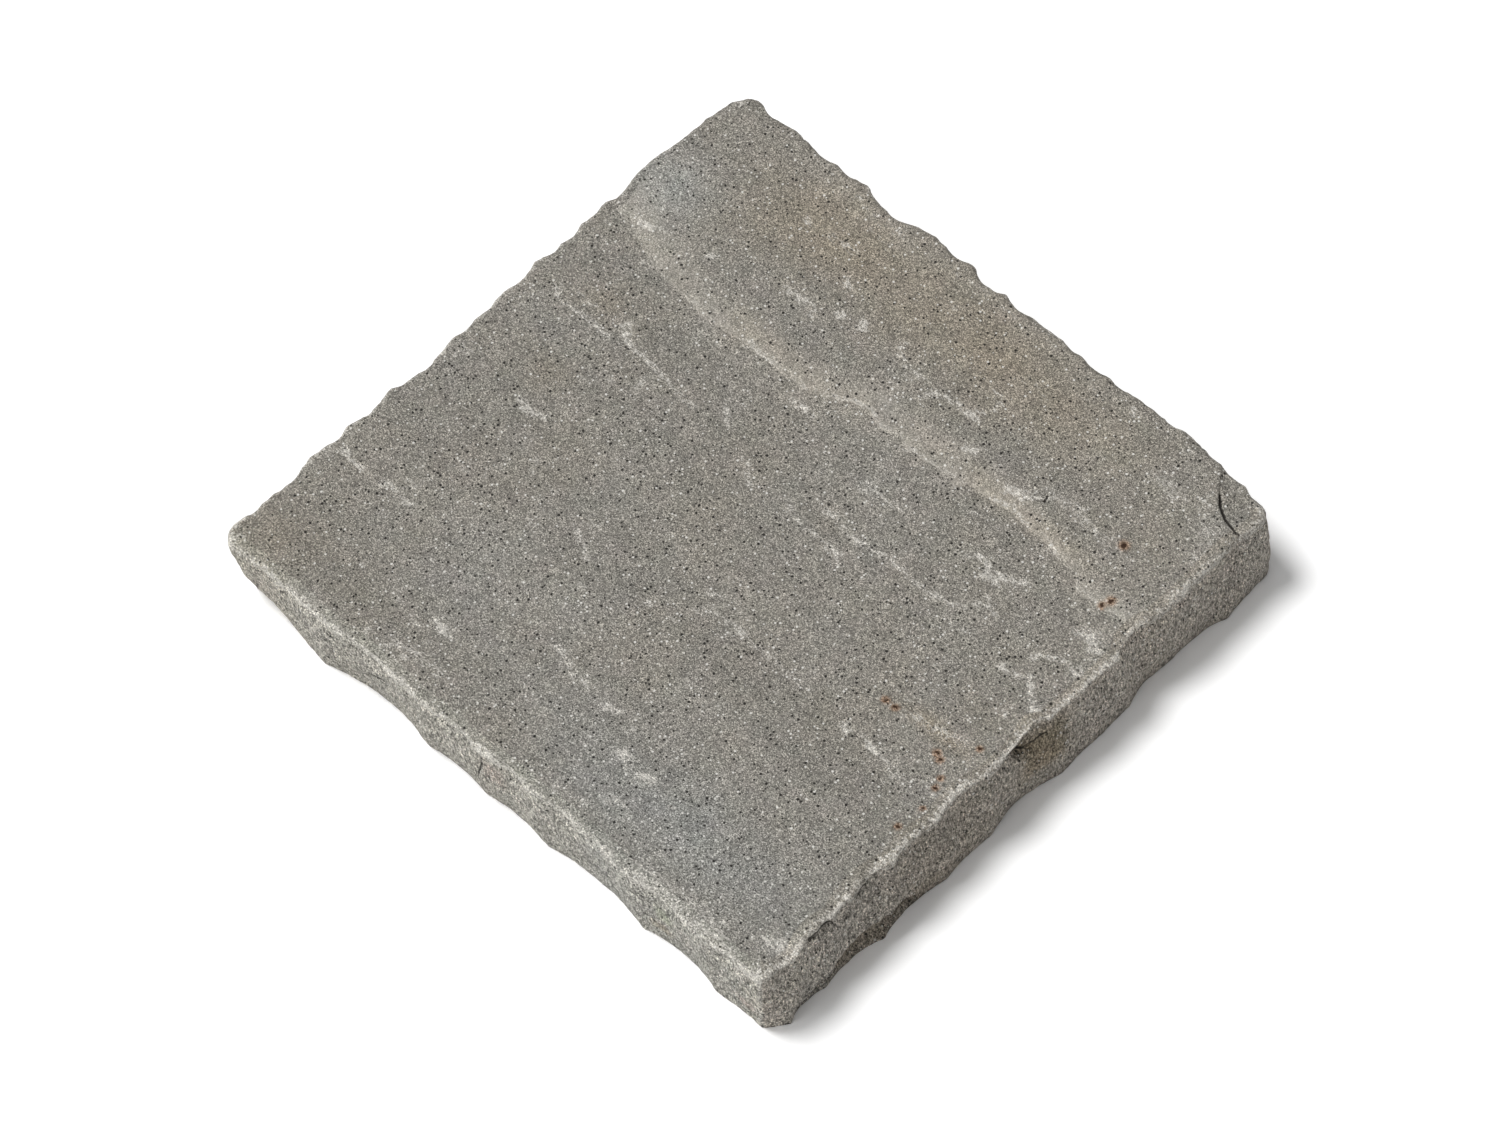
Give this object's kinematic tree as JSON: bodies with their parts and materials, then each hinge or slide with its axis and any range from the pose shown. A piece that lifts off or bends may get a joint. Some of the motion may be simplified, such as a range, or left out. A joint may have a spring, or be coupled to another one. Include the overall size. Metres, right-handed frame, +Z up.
{
  "type": "sandstone sett",
  "caption": "Square sandstone paving sett with a riven top face stepped near one side, chisel-scalloped sides and a flat sawn-like bed.",
  "frame": {"origin": "centre of the nominal square, on the flat bed face", "axes": "+Z up out of the riven face; +Y towards the side beside the raised layer; the riven step runs along X"},
  "size_m": [0.2067, 0.2038, 0.03],
  "materials": {
    "sandstone": "matt, riven and hand dressed"
  },
  "bodies": {
    "root": {"sandstone_sett": "sandstone"}
  },
  "joints": []
}
